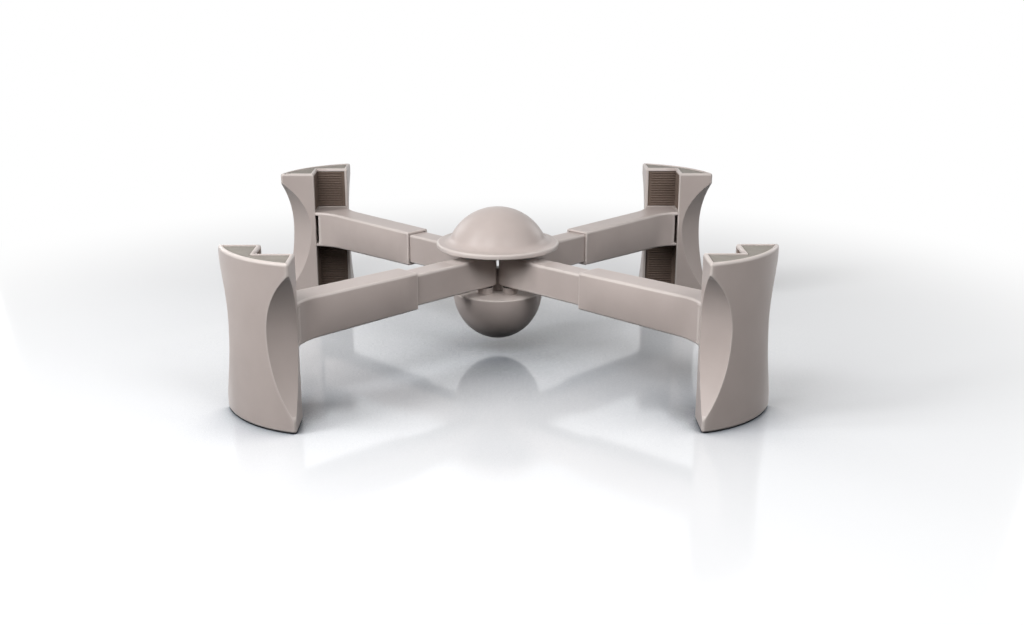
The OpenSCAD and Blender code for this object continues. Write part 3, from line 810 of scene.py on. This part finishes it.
def black_acetal():
    """Black acetal of the glide bushes and thrust washers, machined.

    The eye sees a waxy near-black with faint turning lines. Real ones are about 0.1 mm apart, too fine to
    show, so they are drawn 1.2 mm apart. The wave runs through 20 radians in one unit of its scale.
    """
    made, tree, place = blank("black_acetal")
    lines = add(tree, "ShaderNodeTexWave", {"Vector": place, "Scale": per_mm(1.184) * math.tau / 20,
                                            "Distortion": 1.0, "Detail": 2.0}, bands_direction="Z")
    colour = tones(tree, lines.outputs["Fac"], (0.2, "#2c2927"), (0.8, "#34312f"))
    bump = add(tree, "ShaderNodeBump", {"Height": lines.outputs["Fac"], "Strength": 0.1, "Distance": 0.0002})
    skin = add(tree, "ShaderNodeBsdfPrincipled", {
        "Base Color": colour, "Roughness": 0.4, "Normal": bump.outputs["Normal"], "IOR": 1.48})
    add(tree, "ShaderNodeOutputMaterial", {"Surface": skin.outputs["BSDF"]})
    return made


shell = moulded_polypropylene()
grip = soft_grip_rubber()
pad = pad_rubber()
steel = zinc_plated_steel()
acetal = black_acetal()

# Hub
piece("hub_dome_shell", dome_shells(), shell, "hub", "hub_dome")
piece("hub_bowl_shell", bowl_shells(), shell, "hub", "hub_bowl")

# Limbs
overshoot = 2
seat_low = ARM_Z - SEAT_HALF_H
sinks = [rod(x, seat_low - overshoot, seat_low + SCREW_SINK, SCREW_SINK_R) for x in SCREW_XS]
sleeve = cut("sleeve", sleeve_shells(), sinks + [rod(LEG_PIN_X, seat_low - overshoot, ARM_Z, PIN_BORE)])
arm_span = (ARM_Z - ARM_HALF_H - overshoot, ARM_Z + ARM_HALF_H + overshoot)
arm = cut("arm", arm_shells(), [rod(ARM_PIN_X, *arm_span, PIN_BORE), rod(PIVOT_X, *arm_span, PIVOT_BORE)])
sockets = [rod(x, seat_low - overshoot, seat_low + SCREW_SOCKET, SCREW_SOCKET_R) for x in SCREW_XS]
screws = cut("screws", screw_shells(), sockets)
spring = spring_shells()
limb = [
    ("leg_column", leg_shells(), shell, "leg", "leg", "shell"),
    ("ribbed_grip_upper", grip_shells(*UPPER_GRIP), grip, "leg", "grip_upper", "grip"),
    ("ribbed_grip_lower", grip_shells(*LOWER_GRIP), grip, "leg", "grip_lower", "grip"),
    ("upper_end_pad", pad_shells(TOP_PAD_Z - PAD_T, TOP_PAD_Z, *PAD_ROUND), pad, "leg", "top_pad", "pad"),
    ("foot_end_pad", pad_shells(0.0, PAD_T, *PAD_ROUND[::-1]), pad, "leg", "foot_pad", "pad"),
    ("flared_sleeve", sleeve, shell, "leg", "sleeve", "shell"),
    ("sleeve_screws", screws, steel, "leg", "leg_screws", "steel"),
    ("sliding_arm", arm, shell, "arm", "inner_arm", "shell"),
]
for corner, turn in CORNERS.items():
    for name, shells, finish, body, node, slot in limb:
        piece(f"{name}_{corner}", shells, finish, f"{body}_{corner}", f"{node}_{corner}", turn)
    pinned = (f"arm_{corner}", f"leg_{corner}")
    piece(f"coil_spring_{corner}", spring, steel, pinned, f"spring_{corner}", turn)

# Pieces whose machined shape is right as it is
by_slot = {"shell": shell, "steel": steel, "acetal": acetal}
kept = {"upper_plate": "shell", "lower_plate": "shell", "pivot_bolts": "steel", "pivot_nuts": "steel",
        "pivot_tubes": "steel", "upper_spacers": "shell", "lower_spacers": "shell",
        "thrust_washers": "acetal"}
for corner in CORNERS:
    kept[f"glide_bush_{corner}"] = "acetal"
    kept[f"arm_pin_{corner}"] = kept[f"leg_pin_{corner}"] = "steel"
for node, slot in kept.items():
    frame["nodes"][node].data.materials.clear()
    frame["nodes"][node].data.materials.append(by_slot[slot])


def background_rays(tree):
    """One for rays from the camera, from gloss and through glass, which see the plain white background."""
    path = add(tree, "ShaderNodeLightPath", {})
    seen = path.outputs["Is Camera Ray"]
    for other in ("Is Glossy Ray", "Is Transmission Ray"):
        seen = add(tree, "ShaderNodeMath", {0: seen, 1: path.outputs[other]}, operation="MAXIMUM").outputs[0]
    return seen


# Floor: a white lacquered board with a faint reflection and a bluish shade where the object hides the sky.
# It fades to plain white away from the object, and throws hardly any light back onto it.
floor_finish, tree, place = blank("white_lacquered_board")
open_sky = add(tree, "ShaderNodeAmbientOcclusion", {"Distance": 0.25}, samples=8).outputs["AO"]
tone = tones(tree, open_sky, (0.25, "#3a3e44"), (0.5, "#8b9097"), (0.62, "#b8bcc2"), (0.92, "#f1f2f4"))
board = add(tree, "ShaderNodeBsdfPrincipled", {"Base Color": tone, "Roughness": 0.08, "IOR": 1.52})
white = add(tree, "ShaderNodeEmission", {"Color": (1, 1, 1, 1), "Strength": 1.0})
away = add(tree, "ShaderNodeVectorMath", {0: place}, operation="LENGTH").outputs["Value"]
fade = add(tree, "ShaderNodeMapRange", {"Value": away, "From Min": 0.32, "From Max": 0.8},
           interpolation_type="SMOOTHSTEP")
near = add(tree, "ShaderNodeMixShader", {0: fade.outputs["Result"], 1: board.outputs["BSDF"],
                                         2: white.outputs["Emission"]})
dull = add(tree, "ShaderNodeBsdfDiffuse", {"Color": linear("#181818")})
both = add(tree, "ShaderNodeMixShader", {0: background_rays(tree), 1: dull.outputs["BSDF"],
                                         2: near.outputs["Shader"]})
add(tree, "ShaderNodeOutputMaterial", {"Surface": both.outputs["Shader"]})
board_mesh = bpy.data.meshes.new("floor")
reach = 20.0
corners = [(-reach, -reach, 0), (reach, -reach, 0), (reach, reach, 0), (-reach, reach, 0)]
board_mesh.from_pydata(corners, [], [(0, 1, 2, 3)])
board_mesh.materials.append(floor_finish)
floor = bpy.data.objects.new("floor", board_mesh)
bpy.context.scene.collection.objects.link(floor)

# Sky: a little soft light all round, and plain white where it is seen
world = bpy.data.worlds.new("studio")
bpy.context.scene.world = world
world.use_nodes = True
tree = world.node_tree
tree.nodes.clear()
seen = background_rays(tree)
level = add(tree, "ShaderNodeMapRange", {"Value": seen, "To Min": 0.03, "To Max": 1.0})
sky = add(tree, "ShaderNodeBackground", {"Color": (1, 1, 1, 1), "Strength": level.outputs["Result"]})
add(tree, "ShaderNodeOutputWorld", {"Surface": sky.outputs["Background"]})


def softbox(name, azimuth, elevation, away, wide, tall, watts):
    """A softbox aimed at the object's middle: degrees round from +X to +Y and up, and metres away."""
    lamp = bpy.data.lights.new(name, "AREA")
    lamp.shape = "RECTANGLE"
    lamp.size = wide
    lamp.size_y = tall
    lamp.energy = watts
    a, e = math.radians(azimuth), math.radians(elevation)
    spoke = Vector((math.cos(a) * math.cos(e), math.sin(a) * math.cos(e), math.sin(e)))
    made = bpy.data.objects.new(name, lamp)
    middle = Vector((0, 0, 0.06))
    made.location = middle + away * spoke
    made.rotation_euler = (-spoke).to_track_quat("-Z", "Y").to_euler()
    bpy.context.scene.collection.objects.link(made)


# Key at the front left, two boxes at the right, a tall box and a strip at the left, and two low fills behind
softbox("key", 244, 44, 1.1, 0.45, 0.45, 5.4)
softbox("front", 302, 38, 1.5, 0.6, 0.6, 6.8)
softbox("right", 345, 30, 1.5, 0.6, 0.6, 2.5)
softbox("left", 206, 28, 3.0, 0.6, 1.4, 35)
softbox("strip", 196, 44, 1.5, 0.15, 0.9, 5.4)
softbox("back left", 130, 20, 3.0, 1.0, 1.0, 9)
softbox("back right", 45, 20, 3.0, 1.0, 1.0, 8)

# Camera: the photograph's view, 18 degrees down from about 1.3 metres away
lens = bpy.data.cameras.new("camera")
image_width, focal_pixels = 1024, 1277
lens.sensor_width = 36
lens.lens = focal_pixels / image_width * lens.sensor_width
lens.shift_x = 0.0140
lens.shift_y = 0.0337
camera = bpy.data.objects.new("camera", lens)
elevation, azimuth, distance = math.radians(17.8), math.radians(0.34), 1.279
flat = distance * math.cos(elevation)
camera.location = (-flat * math.sin(azimuth), -flat * math.cos(azimuth), distance * math.sin(elevation))
camera.rotation_euler = (-camera.location).to_track_quat("-Z", "Y").to_euler()
bpy.context.scene.collection.objects.link(camera)
bpy.context.scene.camera = camera
bpy.context.scene.view_settings.view_transform = "Standard"
